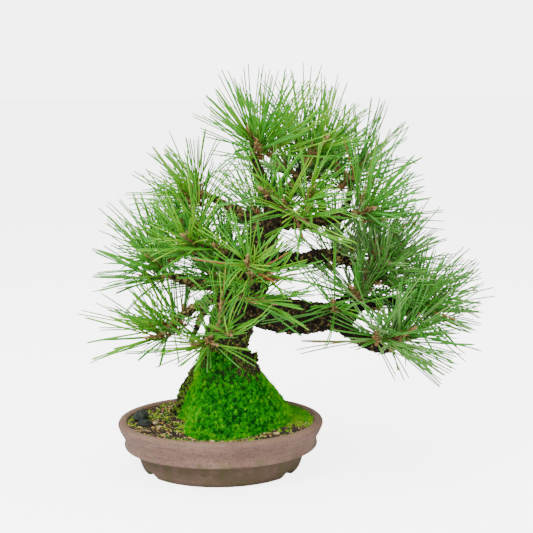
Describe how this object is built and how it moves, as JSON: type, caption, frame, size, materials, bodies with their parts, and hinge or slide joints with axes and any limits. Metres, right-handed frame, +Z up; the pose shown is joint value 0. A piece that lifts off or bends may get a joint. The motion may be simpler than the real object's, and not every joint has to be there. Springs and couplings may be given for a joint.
{
  "type": "japanese black pine bonsai in a round clay pot",
  "caption": "Small trained pine with a leaning, flaking trunk, radiating needle sprays and a moss mound over its roots, growing in a low round clay pot for display.",
  "frame": {"origin": "on the plane that the pot's foot stands on, under the middle of the whole outline seen from above; the pot's middle is 73.1 mm to -X and 5.7 mm to -Y of it", "axes": "+Z up; the front of the tree faces -Y; the trunk leans towards +X"},
  "size_m": [0.4056, 0.3331, 0.4067],
  "materials": {
    "clay": "matte",
    "soil": "matte",
    "bark": "matte",
    "moss": "matte",
    "stone": "matte",
    "needles": "satin"
  },
  "bodies": {
    "root": {"pot": "clay", "soil": "soil", "trunk": "bark", "moss_mound": "moss", "stone": "stone", "bough_low_right": "bark", "bough_low_right_upper": "bark", "bough_low_right_fork": "bark", "bough_right_rear": "bark", "bough_mid_right": "bark", "bough_mid_right_end": "bark", "bough_right_back": "bark", "bough_upper_right": "bark", "bough_upper_right_spur": "bark", "bough_crown_right": "bark", "bough_crown_top": "bark", "bough_upper_front": "bark", "bough_upper_left": "bark", "bough_left_rise": "bark", "bough_left_back": "bark", "bough_left_mid": "bark", "bough_left_low": "bark", "bough_left_droop": "bark", "bough_front_low": "bark", "bough_front_mid": "bark", "bough_front_high": "bark", "bough_back_low": "bark", "bough_back_mid": "bark", "bough_back_high": "bark", "needles_apex": "needles", "needles_crown_top": "needles", "needles_crown_right": "needles", "needles_crown_back": "needles", "needles_upper_front": "needles", "needles_upper_spur": "needles", "needles_upper_right": "needles", "needles_upper_left": "needles", "needles_left_rise": "needles", "needles_left_back": "needles", "needles_left_mid": "needles", "needles_left_low": "needles", "needles_left_droop": "needles", "needles_front_low": "needles", "needles_front_mid": "needles", "needles_front_high": "needles", "needles_mid_right": "needles", "needles_right_back": "needles", "needles_right_rear": "needles", "needles_right_end": "needles", "needles_right_fork": "needles", "needles_back_low": "needles", "needles_back_mid": "needles"}
  },
  "joints": []
}
